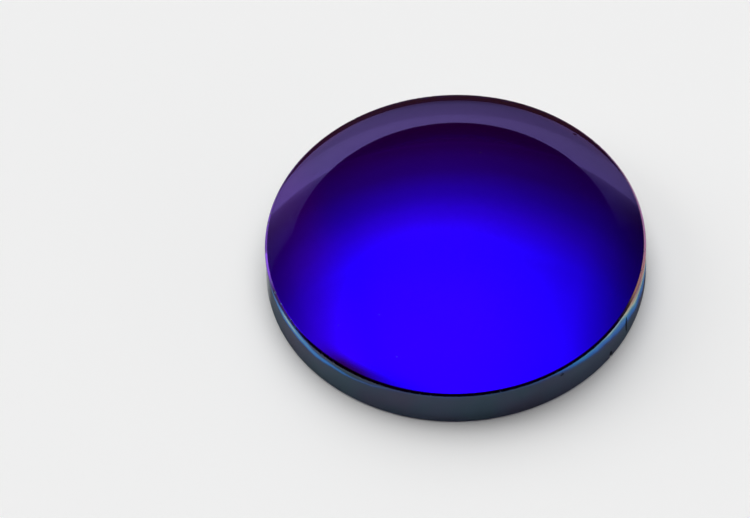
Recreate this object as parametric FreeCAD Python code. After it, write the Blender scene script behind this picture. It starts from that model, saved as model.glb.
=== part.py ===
import FreeCAD, Part
import math
import os

# One round, uncut eyeglass lens: a minus-power meniscus of optical resin with a domed front and a deeper
# hollow back. Millimetres. The origin is the centre of the circle on which the back rim rests, and +Z is
# the optical axis, towards the domed front.

# Driving dimensions of the blank
blank_diameter = 70.0
front_curve_radius = 88.3
back_curve_radius = 58.2
centre_thickness = 3.7

# Safety bevels that break the two sharp rims, at 45 degrees
front_bevel_width = 0.4
back_bevel_width = 0.3

# Marks in the edge where the blank was gripped: a long shallow pit under the front bevel, and a short
# chip that breaks out at the back bevel. Angles are about +Z from +X, and lengths run along Z.
pit_angle = -28.0
pit_drop_below_bevel = 4.0
pit_length = 4.6
pit_width = 0.8
pit_depth = 0.12
chip_angle = -37.0
chip_height = 0.9
chip_length = 2.2
chip_width = 0.8
chip_depth = 0.25

blank_radius = blank_diameter / 2
full_turn = 360.0
origin = FreeCAD.Vector(0, 0, 0)
optical_axis = FreeCAD.Vector(0, 0, 1)


def sag(curve_radius, distance):
    """Drop of a spherical curve below its vertex, at a distance from the optical axis."""
    return curve_radius - math.sqrt(curve_radius ** 2 - distance ** 2)


# The back rim's lowest circle is where the hollow meets the back bevel, and it lies at z = 0
back_rim_radius = blank_radius - back_bevel_width
front_rim_radius = blank_radius - front_bevel_width
back_vertex_z = sag(back_curve_radius, back_rim_radius)
front_vertex_z = back_vertex_z + centre_thickness
front_rim_z = front_vertex_z - sag(front_curve_radius, front_rim_radius)
edge_bottom_z = back_bevel_width
edge_top_z = front_rim_z - front_bevel_width


def section_point(distance, height):
    """A point of the half section, which lies in the XZ plane."""
    return FreeCAD.Vector(distance, 0, height)


def back_curve_point(distance):
    """The hollow back's section at a distance from the optical axis."""
    return section_point(distance, back_vertex_z - sag(back_curve_radius, distance))


def front_curve_point(distance):
    """The domed front's section at a distance from the optical axis."""
    return section_point(distance, front_vertex_z - sag(front_curve_radius, distance))


def blank():
    """The half section with its two curves, edge and bevels, turned once about the optical axis."""
    back_curve = Part.Arc(
        back_curve_point(0),
        back_curve_point(back_rim_radius / 2),
        back_curve_point(back_rim_radius),
    )
    front_curve = Part.Arc(
        front_curve_point(front_rim_radius),
        front_curve_point(front_rim_radius / 2),
        front_curve_point(0),
    )
    edge_bottom = section_point(blank_radius, edge_bottom_z)
    edge_top = section_point(blank_radius, edge_top_z)
    section = Part.Wire([
        back_curve.toShape(),
        Part.makeLine(back_curve_point(back_rim_radius), edge_bottom),
        Part.makeLine(edge_bottom, edge_top),
        Part.makeLine(edge_top, front_curve_point(front_rim_radius)),
        front_curve.toShape(),
        Part.makeLine(front_curve_point(0), back_curve_point(0)),
    ])
    return Part.Face(section).revolve(origin, optical_axis, full_turn)


def grip_mark(angle, height, length, width, depth):
    """An egg-shaped cutter that leaves a pit of this length, width and depth in the edge."""
    # A ball that sinks in by half its radius leaves a footprint sqrt(3) radii across
    footprint_in_radii = math.sqrt(3)
    egg = FreeCAD.Matrix()
    egg.scale(2 * depth, width / footprint_in_radii, length / footprint_in_radii)
    cutter = Part.makeSphere(1).transformGeometry(egg)
    cutter.translate(section_point(blank_radius + depth, height))
    cutter.rotate(origin, optical_axis, angle)
    return cutter


def lens():
    """The blank with its two grip marks."""
    pit_z = edge_top_z - pit_drop_below_bevel
    pit = grip_mark(pit_angle, pit_z, pit_length, pit_width, pit_depth)
    chip = grip_mark(chip_angle, chip_height, chip_length, chip_width, chip_depth)
    return blank().cut(pit).cut(chip)


os.makedirs("parts", exist_ok=True)
lens().exportStep("parts/lens.step")
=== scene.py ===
import math
import bmesh
import bpy
from mathutils import Matrix, Vector


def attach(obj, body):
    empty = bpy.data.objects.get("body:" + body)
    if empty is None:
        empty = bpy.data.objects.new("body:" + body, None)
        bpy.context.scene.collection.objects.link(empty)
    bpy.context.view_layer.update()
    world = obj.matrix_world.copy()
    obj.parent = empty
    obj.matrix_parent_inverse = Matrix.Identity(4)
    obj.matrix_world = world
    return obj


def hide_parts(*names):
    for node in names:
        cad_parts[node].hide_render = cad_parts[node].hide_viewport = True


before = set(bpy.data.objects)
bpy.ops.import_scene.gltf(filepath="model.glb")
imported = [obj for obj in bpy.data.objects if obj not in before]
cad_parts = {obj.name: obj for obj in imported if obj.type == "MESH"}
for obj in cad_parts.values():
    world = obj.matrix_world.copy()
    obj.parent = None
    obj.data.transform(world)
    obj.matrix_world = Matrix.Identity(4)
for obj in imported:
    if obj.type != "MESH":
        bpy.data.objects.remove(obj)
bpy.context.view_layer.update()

# The lens. One round, uncut blank of high-index optical resin, cast between two moulds that give it a domed
# front and a deeper hollow back. Its edge is then turned and polished, and both rims are broken by small
# bevels. A mirror coat is vacuum-deposited on the front, and a little of it strays over the bevel and edge.
MM = 0.001
blank_radius = 35.0 * MM
front_curve_radius = 88.3 * MM
back_curve_radius = 58.2 * MM
centre_thickness = 3.7 * MM
front_bevel_width = 0.4 * MM
back_bevel_width = 0.3 * MM
rim_rounding = 0.05 * MM
same_place = 1e-3 * MM

# Marks in the edge where the blank was gripped: a long shallow pit under the front bevel, and a short chip
# that breaks out at the back bevel. Their angles are in degrees about the optical axis.
pit_angle = -28.0
pit_drop_below_bevel = 4.0 * MM
pit_length = 4.6 * MM
pit_width = 0.8 * MM
pit_depth = 0.12 * MM
chip_angle = -37.0
chip_height = 0.9 * MM
chip_length = 2.2 * MM
chip_width = 0.8 * MM
chip_depth = 0.25 * MM

# Steps that keep the images seen through the lens free of facets
front_steps = 44
back_steps = 48
edge_rows = 36
rounding_segments = 3
# The turn's parts, as the angles where they end and the steps up to there, in degrees. The steps are fine
# across the two grip marks.
coarse_step = 1.255
fine_step = 0.1
mark_half_angle = 0.9
turn_parts = [
    (360 + chip_angle - mark_half_angle, coarse_step),
    (360 + chip_angle + mark_half_angle, fine_step),
    (360 + pit_angle - mark_half_angle, coarse_step),
    (360 + pit_angle + mark_half_angle, fine_step),
    (360, coarse_step),
]


def sag(curve_radius, distance):
    """Drop of a spherical curve below its vertex, at a distance from the optical axis."""
    return curve_radius - math.sqrt(curve_radius ** 2 - distance ** 2)


back_rim_radius = blank_radius - back_bevel_width
front_rim_radius = blank_radius - front_bevel_width
back_vertex_z = sag(back_curve_radius, back_rim_radius)
front_vertex_z = back_vertex_z + centre_thickness
front_rim_z = front_vertex_z - sag(front_curve_radius, front_rim_radius)
edge_top_z = front_rim_z - front_bevel_width
edge_bottom_z = back_bevel_width
z_axis = Vector((0, 0, 1))
y_axis = Vector((0, 1, 0))


def grow_arc(bm, start, centre_z, axis, angle, steps):
    """Grows a spherical curve's half section from its start point, and returns its last point."""
    arc = bmesh.ops.spin(bm, geom=[start], cent=(0, 0, centre_z), axis=axis, angle=angle, steps=steps)
    return next(part for part in arc["geom_last"] if isinstance(part, bmesh.types.BMVert))


def grow_line(bm, start, distance, height):
    """Grows a straight part of the half section, and returns its far point."""
    grown = bmesh.ops.extrude_vert_indiv(bm, verts=[start])
    grown["verts"][0].co = (distance, 0, height)
    return grown["verts"][0]


# The half section: front curve, front bevel, edge, back bevel and back curve, turned once about the axis
bm = bmesh.new()
front_vertex = bm.verts.new((0, 0, front_vertex_z))
front_angle = math.asin(front_rim_radius / front_curve_radius)
front_rim = grow_arc(bm, front_vertex, front_vertex_z - front_curve_radius, y_axis, front_angle, front_steps)
edge_point = grow_line(bm, front_rim, blank_radius, edge_top_z)
for row in range(1, edge_rows + 1):
    edge_point = grow_line(bm, edge_point, blank_radius,
                           edge_top_z + (edge_bottom_z - edge_top_z) * row / edge_rows)
back_rim = grow_line(bm, edge_point, back_rim_radius, 0)
back_angle = math.asin(back_rim_radius / back_curve_radius)
grow_arc(bm, back_rim, back_vertex_z - back_curve_radius, -y_axis, back_angle, back_steps)
section = bm.verts[:] + bm.edges[:]
turned = 0.0
for end_angle, step in turn_parts:
    sweep = bmesh.ops.spin(bm, geom=section, cent=(0, 0, 0), axis=z_axis,
                           angle=math.radians(end_angle - turned), steps=round((end_angle - turned) / step))
    section = sweep["geom_last"]
    turned = end_angle
bmesh.ops.remove_doubles(bm, verts=bm.verts, dist=same_place)
bmesh.ops.recalc_face_normals(bm, faces=bm.faces)


def ring(bm, radius, height):
    """The edges of the circle with this radius and height."""
    def on_it(vert):
        return abs(vert.co.xy.length - radius) < same_place and abs(vert.co.z - height) < same_place
    return [edge for edge in bm.edges if all(on_it(vert) for vert in edge.verts)]


# The polish has rounded the four rings where surfaces meet. The roundings' borders stay sharp in the shading.
rings = [
    (front_rim_radius, front_rim_z),
    (blank_radius, edge_top_z),
    (blank_radius, edge_bottom_z),
    (back_rim_radius, 0),
]
for ring_radius, ring_z in rings:
    rounded = bmesh.ops.bevel(bm, geom=ring(bm, ring_radius, ring_z), offset=rim_rounding,
                              offset_type="OFFSET", segments=rounding_segments, profile=0.5,
                              affect="EDGES", material=-1)
    inside = set(rounded["faces"])
    for face in inside:
        for edge in face.edges:
            if not all(neighbour in inside for neighbour in edge.link_faces):
                edge.smooth = False

# Each grip mark is pressed in by an egg that sinks in by half its radius. Its footprint is then sqrt(3) radii
# across, and ends where the squared distance from its middle is 3/4 of a squared radius.
footprint_in_radii = math.sqrt(3)
footprint_squared = 3 / 4
marks = [
    (pit_angle, edge_top_z - pit_drop_below_bevel, pit_length, pit_width, pit_depth),
    (chip_angle, chip_height, chip_length, chip_width, chip_depth),
]
ground_verts = set()
for mark_angle, mark_z, mark_length, mark_width, mark_depth in marks:
    egg_length = mark_length / footprint_in_radii
    egg_width = mark_width / footprint_in_radii
    egg_depth = 2 * mark_depth
    for vert in bm.verts:
        if vert.co.z > edge_top_z or vert.co.xy.length < back_rim_radius:
            continue
        sideways = (math.atan2(vert.co.y, vert.co.x) - math.radians(mark_angle)) * blank_radius
        squared = (sideways / egg_width) ** 2 + ((vert.co.z - mark_z) / egg_length) ** 2
        if squared < footprint_squared:
            cut_radius = blank_radius + mark_depth - egg_depth * math.sqrt(1 - squared)
            if cut_radius < vert.co.xy.length:
                vert.co.xy = vert.co.xy.normalized() * cut_radius
                ground_verts.add(vert)

# Where each face stands in the finish: the mirror-coated front with its bevel, the dyed hollow back with
# its own, and the ground surface of the grip marks. The normals of the edge between them lie nearly flat.
coat_layer = bm.faces.layers.float.new("mirror_coat")
dye_layer = bm.faces.layers.float.new("dyed_back")
ground_layer = bm.faces.layers.float.new("ground_mark")
least_rise = 0.3
for face in bm.faces:
    face.smooth = True
    on_front = face.normal.z > least_rise and face.calc_center_median().z > edge_top_z
    face[coat_layer] = 1.0 if on_front else 0.0
    face[dye_layer] = 1.0 if face.normal.z < -least_rise else 0.0
    face[ground_layer] = 1.0 if all(vert in ground_verts for vert in face.verts) else 0.0

lens_mesh = bpy.data.meshes.new("coated_lens")
bm.to_mesh(lens_mesh)
bm.free()
coated_lens = bpy.data.objects.new("coated_lens", lens_mesh)
bpy.context.scene.collection.objects.link(coated_lens)


def linear(hex_colour):
    """An sRGB hex colour as linear red, green, blue and alpha."""
    channels = [int(hex_colour[i:i + 2], 16) / 255 for i in (0, 2, 4)]
    return tuple(c / 12.92 if c <= 0.04045 else ((c + 0.055) / 1.055) ** 2.4 for c in channels) + (1.0,)


def add(tree, kind, settings=None, inputs=None):
    """Adds a shader node. An input is a value, or the socket or node (its first output) to link to it."""
    node = tree.nodes.new(kind)
    for name, value in (settings or {}).items():
        setattr(node, name, value)
    for name, value in (inputs or {}).items():
        if isinstance(value, bpy.types.Node):
            value = value.outputs[0]
        if isinstance(value, bpy.types.NodeSocket):
            tree.links.new(value, node.inputs[name])
        else:
            node.inputs[name].default_value = value
    return node


def set_ramp(node, stops, low=0.0, high=1.0):
    """Sets a ramp's stops, whose places run from low to high. They are hex colours or grey levels."""
    elements = node.color_ramp.elements
    for k, (value, colour) in enumerate(stops):
        place = (value - low) / (high - low)
        # A new ramp has two elements already
        stop = elements[k] if k < 2 else elements.new(place)
        stop.position = place
        stop.color = linear(colour) if isinstance(colour, str) else (colour, colour, colour, 1)


def new_material(name):
    """An empty node material."""
    material = bpy.data.materials.new(name)
    material.use_nodes = True
    material.node_tree.nodes.clear()
    return material


# Cast high-index resin, dyed dark in a bath, with a vacuum-deposited mirror coat on the front. It shines a
# deep blue where the coat mirrors a light, and is a dark, clear violet elsewhere.
resin_index = 1.6
mirror_coated_resin = new_material("mirror_coated_resin")
tree = mirror_coated_resin.node_tree
coat, dyed, ground = [
    add(tree, "ShaderNodeAttribute", {"attribute_type": "GEOMETRY", "attribute_name": layer}).outputs["Fac"]
    for layer in ("mirror_coat", "dyed_back", "ground_mark")
]
bare = add(tree, "ShaderNodeMath", {"operation": "SUBTRACT"}, {0: 1.0, 1: dyed})
lens_point = add(tree, "ShaderNodeTexCoord").outputs["Object"]
lens_axes = add(tree, "ShaderNodeSeparateXYZ", None, {0: lens_point})
lens_height = lens_axes.outputs["Z"]
angle_about_axis = add(tree, "ShaderNodeMath", {"operation": "ARCTAN2"},
                       {0: lens_axes.outputs["Y"], 1: lens_axes.outputs["X"]})
share_of_turn = add(tree, "ShaderNodeMapRange", None,
                    {"Value": angle_about_axis, "From Min": -math.pi, "From Max": math.pi})


def by_angle(stops, interpolation="LINEAR"):
    """A ramp whose stops follow the angle about the optical axis, in degrees from -180 to 180."""
    ramp = add(tree, "ShaderNodeValToRGB", None, {"Fac": share_of_turn})
    ramp.color_ramp.interpolation = interpolation
    set_ramp(ramp, stops, -180, 180)
    return ramp


# The bare resin of edge and back: polished clear, with the dye of the bath just under the hollow back
dye = add(tree, "ShaderNodeMix", {"data_type": "RGBA"}, {0: dyed, 6: linear("FFFFFF"), 7: linear("452759")})
# Fine lines run round the edge where it was turned, and its polish is a little uneven
lathe_line_pitch = 0.25 * MM
polish_patch_size = 1.5 * MM
relief_height = 0.004 * MM
lathe_lines = add(tree, "ShaderNodeTexNoise", {"noise_dimensions": "1D"},
                  {"W": lens_height, "Scale": 1 / lathe_line_pitch, "Detail": 2.0})
polish_patches = add(tree, "ShaderNodeTexNoise", None,
                     {"Vector": lens_point, "Scale": 1 / polish_patch_size, "Detail": 3.0})
relief = add(tree, "ShaderNodeMath", {"operation": "MULTIPLY_ADD"},
             {0: lathe_lines, 1: 0.6, 2: polish_patches})
turned_edge = add(tree, "ShaderNodeBump", None,
                  {"Height": relief, "Strength": 0.25, "Distance": relief_height})
dull_patches = add(tree, "ShaderNodeMapRange", None,
                   {"Value": polish_patches, "From Min": 0.4, "From Max": 0.75, "To Max": 0.12})
edge_roughness = add(tree, "ShaderNodeMath", {"operation": "MULTIPLY"}, {0: dull_patches, 1: bare})
resin = add(tree, "ShaderNodeBsdfPrincipled", None,
            {"Base Color": dye.outputs[2], "Roughness": edge_roughness, "Normal": turned_edge,
             "IOR": resin_index, "Transmission Weight": 1.0, "Specular Tint": linear("3FBCDA")})
# Where the blank was gripped, and in a few small flecks of the edge, the resin is matt. Its dark grey is
# partly painted shade, which darkens the pits of the grip marks.
fleck_spacing = 5 * MM
frosted_resin_and_pit_shade = add(tree, "ShaderNodeBsdfDiffuse", None, {"Color": linear("24272F")})
fleck_distance = add(tree, "ShaderNodeTexVoronoi", None, {"Vector": lens_point, "Scale": 1 / fleck_spacing})
flecks = add(tree, "ShaderNodeMapRange", None,
             {"Value": fleck_distance, "From Min": 0.09, "From Max": 0.06, "To Max": 0.8})
frost_and_pit_shade = add(tree, "ShaderNodeMath", {"operation": "MULTIPLY_ADD", "use_clamp": True},
            {0: ground, 1: 0.85, 2: flecks})

# The mirror coat reflects blue best at steep views, and almost nothing at flatter ones, as its thin layers
# do. Its colours are given at angles of incidence in degrees, and the ramp runs over 1 - cosine of the angle.
coat_colours = [(30, "1B00EA"), (34, "1B00E4"), (36, "1B00C9"), (38, "1B00AF"), (42, "160086"),
                (46, "160059"), (50, "16003F"), (55, "160028"), (72, "160032"), (82, "301927"),
                (90, "897689")]
coat_share = 0.75
facing = add(tree, "ShaderNodeLayerWeight", None, {"Blend": 0.5})
mirrored_colour = add(tree, "ShaderNodeValToRGB", None, {"Fac": facing.outputs["Facing"]})
set_ramp(mirrored_colour, [(1 - math.cos(math.radians(angle)), colour) for angle, colour in coat_colours])
# The coat is a little thicker towards one side, and more violet there
eased = {"interpolation_type": "SMOOTHSTEP"}
violet_start = 20 * MM
violet_full = 31 * MM
towards_violet = add(tree, "ShaderNodeVectorMath", {"operation": "DOT_PRODUCT"},
                     {0: lens_point, 1: (-1, -0.2, 0)})
violet_side = add(tree, "ShaderNodeMapRange", eased,
                  {"Value": towards_violet.outputs["Value"], "From Min": violet_start,
                   "From Max": violet_full})
coat_colour = add(tree, "ShaderNodeMix", {"data_type": "RGBA", "blend_type": "ADD"},
                  {0: violet_side, 6: mirrored_colour, 7: linear("230000")})
# Its thickness drifts slowly over the front
drift_size = 18 * MM
drift = add(tree, "ShaderNodeTexNoise", None, {"Vector": lens_point, "Scale": 1 / drift_size, "Detail": 2.0})
drift_brightness = add(tree, "ShaderNodeMapRange", None,
                       {"Value": drift, "From Min": 0.3, "From Max": 0.7, "To Min": 0.95, "To Max": 1.05})
drifted_colour = add(tree, "ShaderNodeVectorMath", {"operation": "SCALE"},
                     {"Vector": coat_colour.outputs[2], "Scale": drift_brightness})
# In one place at the rim, at the front-left, the mirror's colour is made dark: painted shade in what the coat
# mirrors.
dark_patch_width = 2.4 * MM
from_axis = add(tree, "ShaderNodeVectorMath", {"operation": "MULTIPLY"}, {0: lens_point, 1: (1, 1, 0)})
distance_from_axis = add(tree, "ShaderNodeVectorMath", {"operation": "LENGTH"},
                         {0: from_axis}).outputs["Value"]
dark_patch_side = by_angle([(-180, 0.0), (-140, 0.0), (-128, 0.9), (-121, 0.8), (-111, 0.0), (180, 0.0)])
dark_patch_rim = add(tree, "ShaderNodeMapRange", eased,
               {"Value": distance_from_axis, "From Min": front_rim_radius - dark_patch_width,
                "From Max": front_rim_radius})
painted_dark_reflection = add(tree, "ShaderNodeMath", {"operation": "MULTIPLY"}, {0: dark_patch_side, 1: dark_patch_rim})
front_colour = add(tree, "ShaderNodeMix", {"data_type": "RGBA"},
                   {0: painted_dark_reflection, 6: drifted_colour, 7: linear("28041E")})
# The steep bevel caught less of the coat: it is violet on one side, pink on the other, and dark in between
bevel_start = 0.02 * MM
bevel_colour = by_angle([
    (-180, "7C50C4"), (-170, "6542A6"), (-163, "302145"), (-135, "160759"), (-34, "160745"),
    (-26, "3B2E2E"), (-20, "A07468"), (-10, "B3818B"), (0, "BC86B5"), (12, "B381B3"), (35, "7C597C"),
    (60, "54363F"), (135, "54363F"), (158, "593889"), (170, "8B59DA"), (180, "7C50C4")])
on_bevel = add(tree, "ShaderNodeMath", {"operation": "LESS_THAN"},
               {0: lens_height, 1: front_rim_z - bevel_start})
outer_colour = add(tree, "ShaderNodeMix", {"data_type": "RGBA"},
                   {0: on_bevel, 6: front_colour.outputs[2], 7: bevel_colour})
# Wiping has left faint smudges, which blur what the coat mirrors a little
smudge_size = 7 * MM
smudges = add(tree, "ShaderNodeTexNoise", None,
              {"Vector": lens_point, "Scale": 1 / smudge_size, "Detail": 4.0, "Distortion": 0.6})
smudge_roughness = add(tree, "ShaderNodeMapRange", None,
                       {"Value": smudges, "From Min": 0.45, "From Max": 0.75, "To Max": 0.07})
mirror = add(tree, "ShaderNodeBsdfGlossy", {"distribution": "GGX"},
             {"Color": outer_colour.outputs[2], "Roughness": smudge_roughness})
# The rest of the light goes through the coat into the resin, and comes back violet
veil_colour = add(tree, "ShaderNodeMix", {"data_type": "RGBA"},
                  {0: violet_side, 6: linear("9084DA"), 7: linear("9A84F2")})
veil = add(tree, "ShaderNodeBsdfRefraction", {"distribution": "GGX"},
           {"Color": veil_colour.outputs[2], "Roughness": 0.0, "IOR": resin_index})
layers = add(tree, "ShaderNodeMixShader", None, {0: coat_share, 1: veil, 2: mirror})
# A little light scatters in the layers. Along the far rim, a dull brown margin of painted light stands in for
# the back rim seen through the lens.
margin_start = 2.6 * MM
margin_full = 1.2 * MM
far_side = by_angle([(-180, 0.0), (20, 0.0), (50, 1.0), (130, 1.0), (160, 0.0), (180, 0.0)])
near_rim = add(tree, "ShaderNodeMapRange", eased,
               {"Value": distance_from_axis, "From Min": front_rim_radius - margin_start,
                "From Max": front_rim_radius - margin_full})
painted_rim_light = add(tree, "ShaderNodeMath", {"operation": "MULTIPLY"}, {0: far_side, 1: near_rim})
scatter_and_rim_light_colour = add(tree, "ShaderNodeMix", {"data_type": "RGBA"},
                     {0: painted_rim_light, 6: linear("0B0003"), 7: linear("230F0D")})
scatter_and_rim_light = add(tree, "ShaderNodeBsdfDiffuse", None, {"Color": scatter_and_rim_light_colour.outputs[2]})
clean_coat = add(tree, "ShaderNodeAddShader", None, {0: layers, 1: scatter_and_rim_light})
# A few specks of dust lie on it
specks = add(tree, "ShaderNodeMapRange", None,
             {"Value": fleck_distance, "From Min": 0.03, "From Max": 0.02, "To Max": 0.08})
dust = add(tree, "ShaderNodeBsdfDiffuse", None, {"Color": linear("BCB8BC")})
dusty_coat = add(tree, "ShaderNodeMixShader", None, {0: specks, 1: clean_coat, 2: dust})
# Small nicks along the rim and down the bevel have broken the coat away
nick_size = 0.9 * MM
nick_above = 0.03 * MM
nick_below = 0.06 * MM
nick_noise = add(tree, "ShaderNodeTexNoise", None,
                 {"Vector": lens_point, "Scale": 1 / nick_size, "Detail": 4.0})
nicks = add(tree, "ShaderNodeMapRange", None, {"Value": nick_noise, "From Min": 0.6, "From Max": 0.66})
rim_and_bevel = add(tree, "ShaderNodeMapRange", None,
                    {"Value": lens_height, "From Min": front_rim_z + nick_above,
                     "From Max": front_rim_z - nick_below})
broken = add(tree, "ShaderNodeMath", {"operation": "MULTIPLY"}, {0: nicks, 1: rim_and_bevel})
worn_coat = add(tree, "ShaderNodeMixShader", None, {0: broken, 1: dusty_coat, 2: resin})

# Overspray of the coat on the edge, whose interference colours follow its thickness: it thins out downwards,
# and is thickest at the two sides, where the blank faced the source most openly
overspray_length = 5.1 * MM
reach = by_angle([
    (-180, 0.05), (-168, 0.16), (-157, 0.45), (-149, 0.6), (-140, 0.45), (-127, 0.24), (-113, 0.14),
    (-88, 0.11), (-63, 0.2), (-48, 0.4), (-39, 0.54), (-32, 0.62), (-25, 0.8), (-17, 0.96), (-8, 0.92),
    (2, 0.72), (10, 0.46), (18, 0.22), (28, 0.0), (150, 0.0), (180, 0.05)], "CARDINAL")
patch_size = 4.5 * MM
patches = add(tree, "ShaderNodeTexNoise", None,
              {"Vector": lens_point, "Scale": 1 / patch_size, "Detail": 1.0})
patchiness = add(tree, "ShaderNodeMapRange", None,
                 {"Value": patches, "From Min": 0.3, "From Max": 0.7, "To Min": 0.88, "To Max": 1.12})
local_reach = add(tree, "ShaderNodeMath", {"operation": "MULTIPLY"}, {0: reach, 1: patchiness})
# Its thickest line lies some way down on the side at -150 degrees, and at the bevel elsewhere, and wanders
wander_size = 6 * MM
thickest_line = by_angle([(-180, 0.14), (-150, 0.13), (-138, 0.27), (-125, 0.27), (-105, 0.0), (165, 0.0),
                          (180, 0.14)])
below_bevel = add(tree, "ShaderNodeMapRange", {"clamp": False},
                  {"Value": lens_height, "From Min": edge_top_z, "From Max": edge_top_z - overspray_length})
wander_noise = add(tree, "ShaderNodeTexNoise", None,
                   {"Vector": lens_point, "Scale": 1 / wander_size, "Detail": 2.0})
wander = add(tree, "ShaderNodeMapRange", None, {"Value": wander_noise, "To Min": -0.1, "To Max": 0.1})
wandering = add(tree, "ShaderNodeMath", {"operation": "ADD"}, {0: below_bevel, 1: wander})
from_thickest = add(tree, "ShaderNodeMath", {"operation": "SUBTRACT"}, {0: wandering, 1: thickest_line})
away = add(tree, "ShaderNodeMath", {"operation": "ABSOLUTE"}, {0: from_thickest})
# It thins out fast on the side at -150 degrees, where it is a narrow streak, and slowly on the other side
slope = by_angle([(-180, 2.0), (-130, 2.0), (-105, 1.2), (-60, 1.0), (-35, 0.85), (0, 0.85), (165, 1.0),
                  (180, 2.0)])
thinned = add(tree, "ShaderNodeMath", {"operation": "MULTIPLY"}, {0: away, 1: slope})
thickness = add(tree, "ShaderNodeMath", {"operation": "SUBTRACT"}, {0: local_reach, 1: thinned})
fringe = add(tree, "ShaderNodeValToRGB", None, {"Fac": thickness})
set_ramp(fringe, [(0.0, "535B6B"), (0.12, "465D8E"), (0.21, "427CCE"), (0.33, "4B95E1"), (0.45, "61ADCE"),
                  (0.56, "AAD7DA"), (0.64, "E2E8C7"), (0.76, "D7BC95"), (0.88, "D6A8A8"), (1.0, "956C95")])
# Its hue drifts a little between pink and green. Between the two sides it is thinner, and its colour there is
# darkened with painted shade, which stands for the shadowed table it mirrors.
hue_size = 9 * MM
hue_noise = add(tree, "ShaderNodeTexNoise", None,
                {"Vector": lens_point, "Scale": 1 / hue_size, "Detail": 3.0})
hue = add(tree, "ShaderNodeValToRGB", None, {"Fac": hue_noise})
set_ramp(hue, [(0.35, "FFE8EC"), (0.5, "F2F2F2"), (0.65, "E4FAEE")])
painted_shade_tone = by_angle([(-180, "FFFFFF"), (-138, "FFFFFF"), (-118, "E0E2EA"), (-66, "DCE0EA"), (-50, "F4F4FF"),
                 (180, "FFFFFF")])
multiplied = {"data_type": "RGBA", "blend_type": "MULTIPLY"}
hued_fringe = add(tree, "ShaderNodeMix", multiplied, {0: 1.0, 6: fringe, 7: hue})
shaded_fringe = add(tree, "ShaderNodeMix", multiplied, {0: 1.0, 6: hued_fringe.outputs[2], 7: painted_shade_tone})
overspray = add(tree, "ShaderNodeBsdfGlossy", {"distribution": "GGX"},
                {"Color": shaded_fringe.outputs[2], "Roughness": 0.08})
# A trace of it reaches all the way down the sides that faced the source
presence = by_angle([(-180, 0.0), (-173, 0.3), (-166, 0.9), (10, 0.9), (25, 0.0), (180, 0.0)])
on_edge = add(tree, "ShaderNodeMath", {"operation": "MULTIPLY"}, {0: presence, 1: bare})
sprayed_edge = add(tree, "ShaderNodeMixShader", None, {0: on_edge, 1: resin, 2: overspray})
marked_edge = add(tree, "ShaderNodeMixShader", None, {0: frost_and_pit_shade, 1: sprayed_edge, 2: frosted_resin_and_pit_shade})
surface = add(tree, "ShaderNodeMixShader", None, {0: coat, 1: marked_edge, 2: worn_coat})
# The resin's own tint deepens with the length of the way through it, by this much a metre
tint_density = 90.0
tint = add(tree, "ShaderNodeVolumeAbsorption", None, {"Color": linear("BCB3C4"), "Density": tint_density})
add(tree, "ShaderNodeOutputMaterial", None, {"Surface": surface, "Volume": tint})
lens_mesh.materials.append(mirror_coated_resin)

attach(coated_lens, "root")
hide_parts("lens")

# The table: a large, pale board that reaches past the camera's view on every side. It is painted dead matt,
# so it shows soft shadows and no reflections, and the lens just stands on it.
table_size = 12.0
bm = bmesh.new()
bmesh.ops.create_grid(bm, x_segments=1, y_segments=1, size=table_size / 2)
table_mesh = bpy.data.meshes.new("table")
bm.to_mesh(table_mesh)
bm.free()
table = bpy.data.objects.new("table", table_mesh)
bpy.context.scene.collection.objects.link(table)
matt_board = new_material("matt_board")
tree = matt_board.node_tree
board = add(tree, "ShaderNodeBsdfPrincipled", None,
            {"Base Color": linear("F9F9F9"), "Roughness": 1.0, "Specular IOR Level": 0.0})
add(tree, "ShaderNodeOutputMaterial", None, {"Surface": board})
table_mesh.materials.append(matt_board)

# The light: a white tent above and behind, open at the front, with a soft box at the left and a low white
# wall at the right. A seam of the tent draws a faint bright line across the lens. Places in it are the parts
# of a unit direction from the lens.
world = bpy.data.worlds.new("light_tent")
world.use_nodes = True
bpy.context.scene.world = world
tree = world.node_tree
background = tree.nodes["Background"]
background.inputs["Color"].default_value = linear("FFFFFF")
direction = add(tree, "ShaderNodeTexCoord").outputs["Generated"]
direction_axes = add(tree, "ShaderNodeSeparateXYZ", None, {0: direction})
rightward = direction_axes.outputs["X"]
backward = direction_axes.outputs["Y"]
upward = direction_axes.outputs["Z"]


def brightness(source, stops, low, high):
    """A brightness that follows its source by the stops, between two values of the source."""
    share = add(tree, "ShaderNodeMapRange", None, {"Value": source, "From Min": low, "From Max": high})
    bands = add(tree, "ShaderNodeValToRGB", None, {"Fac": share})
    set_ramp(bands, stops, low, high)
    return bands


# The tent's cloth is brightest overhead, and fades towards its two sides
across_tent = brightness(rightward, [
    (-1, 0.05), (-0.7, 0.1), (-0.63, 0.15), (-0.57, 0.25), (-0.5, 0.41), (-0.43, 0.62), (-0.37, 0.771),
    (-0.3, 0.878), (-0.23, 0.962), (-0.15, 1), (-0.03, 0.974), (0.04, 0.938), (0.1, 0.869), (0.17, 0.791),
    (0.24, 0.707), (0.37, 0.539), (0.44, 0.45), (0.5, 0.31), (0.57, 0.175), (0.64, 0.08), (1, 0.03)], -1, 1)
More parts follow.
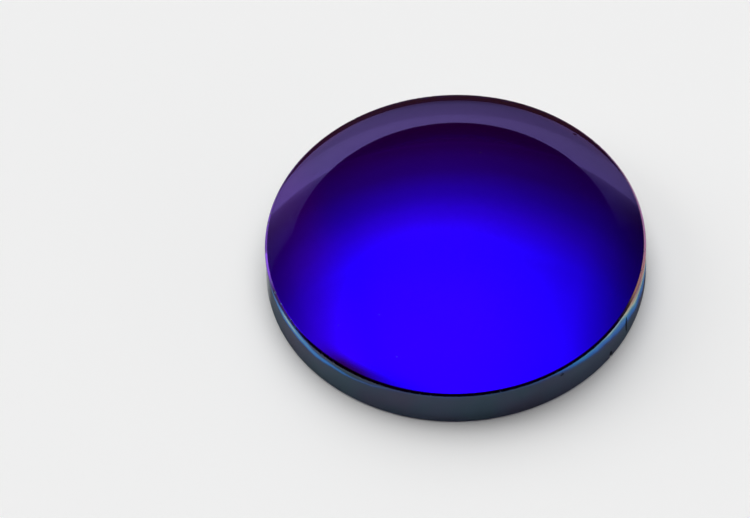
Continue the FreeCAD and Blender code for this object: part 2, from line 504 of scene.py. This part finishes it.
# It fades towards the front and the back too, and its seam lies near 64 degrees. The stops are tilts from
# the zenith towards the back, in degrees.
tilt_limit = 1.6
tilt_stops = [
    (-60, 0.07), (-6, 0.9), (2, 0.99), (10, 0.93), (18, 0.84), (26, 0.72), (37, 0.75), (45, 0.62),
    (53, 0.575), (61, 0.56), (63.4, 0.48), (63.7, 0.6), (64, 0.46), (66, 0.4), (73, 0.34), (76, 0.3),
    (80, 0.11), (90, 0.075)]
tilt = add(tree, "ShaderNodeMath", {"operation": "ARCTAN2"}, {0: backward, 1: upward})
along_tent = brightness(tilt, [(math.radians(angle), level) for angle, level in tilt_stops],
                        -tilt_limit, tilt_limit)
tent_cloth = add(tree, "ShaderNodeMath", {"operation": "MULTIPLY"}, {0: across_tent, 1: along_tent})
# Its front edge runs aslant over a plane one unit overhead, where each direction meets it. In front of the
# edge, the tent is open and nearly dark.
least_upward = 0.02
edge_slant = 0.55
open_strength = 0.15
tent_strength = 3.3
rise = add(tree, "ShaderNodeMath", {"operation": "MAXIMUM"}, {0: upward, 1: least_upward})
overhead_x = add(tree, "ShaderNodeMath", {"operation": "DIVIDE"}, {0: rightward, 1: rise})
overhead_y = add(tree, "ShaderNodeMath", {"operation": "DIVIDE"}, {0: backward, 1: rise})
behind_edge = add(tree, "ShaderNodeMath", {"operation": "MULTIPLY_ADD"},
                  {0: overhead_x, 1: edge_slant, 2: overhead_y})
strength = add(tree, "ShaderNodeMapRange", eased,
               {"Value": behind_edge, "From Min": -0.32, "From Max": -0.18, "To Min": open_strength,
                "To Max": tent_strength})
tent = add(tree, "ShaderNodeMath", {"operation": "MULTIPLY"}, {0: tent_cloth, 1: strength})
# The soft box stands at the left, from beside the lens backwards
box_strength = 2.2
box_side = add(tree, "ShaderNodeMapRange", eased,
               {"Value": rightward, "From Min": -0.64, "From Max": -0.76, "To Max": box_strength})
box_back = add(tree, "ShaderNodeMapRange", eased, {"Value": backward, "From Min": -0.15, "From Max": 0.1})
tent_and_box = add(tree, "ShaderNodeMath", {"operation": "MULTIPLY_ADD"}, {0: box_side, 1: box_back, 2: tent})
# The wall at the right is low
wall_strength = 0.9
wall_side = add(tree, "ShaderNodeMapRange", eased, {"Value": rightward, "From Min": 0.6, "From Max": 0.75})
wall_top = add(tree, "ShaderNodeMapRange", eased,
               {"Value": upward, "From Min": 0.35, "From Max": 0.2, "To Max": wall_strength})
all_lights = add(tree, "ShaderNodeMath", {"operation": "MULTIPLY_ADD"},
                 {0: wall_side, 1: wall_top, 2: tent_and_box})
# The camera sees the tent's wall behind the table as pale as the table
backdrop_level = 0.85
ray = add(tree, "ShaderNodeLightPath")
seen_level = add(tree, "ShaderNodeMix", {"data_type": "FLOAT"},
                 {0: ray.outputs["Is Camera Ray"], 2: all_lights, 3: backdrop_level})
tree.links.new(seen_level.outputs[0], background.inputs["Strength"])

# The camera: above and in front, as in the photograph, turned a little about its own axis. The photograph's
# size, and the lens's centre and radius in it, are in pixels.
frame_width, frame_height = 750, 518
camera_elevation = math.radians(52.6)
camera_distance = 40 * blank_radius
camera_roll = math.radians(-2.1)
lens_centre_px = Vector((456.1, 268.0))
radius_px = 189.8
sensor_width = 36.0
eye = camera_distance * Vector((0, -math.cos(camera_elevation), math.sin(camera_elevation)))
forward = -eye.normalized()
right = Vector((1, 0, 0))
up = right.cross(forward)
# The frame's centre, seen from the lens's centre, in the frame's own pixels and then in unrolled metres
offset = Vector((frame_width / 2, frame_height / 2)) - lens_centre_px
pixel = blank_radius / radius_px
aim_right = (math.cos(camera_roll) * offset.x + math.sin(camera_roll) * offset.y) * pixel
aim_down = (-math.sin(camera_roll) * offset.x + math.cos(camera_roll) * offset.y) * pixel
aim = right * aim_right - up * aim_down
camera = bpy.data.cameras.new("camera")
camera.sensor_width = sensor_width
camera.lens = radius_px * camera_distance / blank_radius * sensor_width / frame_width
camera_object = bpy.data.objects.new("camera", camera)
bpy.context.scene.collection.objects.link(camera_object)
camera_object.location = eye
camera_object.rotation_mode = "QUATERNION"
camera_object.rotation_quaternion = (
    (aim - eye).to_track_quat("-Z", "Y") @ Matrix.Rotation(camera_roll, 4, "Z").to_quaternion())
bpy.context.scene.camera = camera_object

bpy.context.scene.view_settings.view_transform = "Standard"
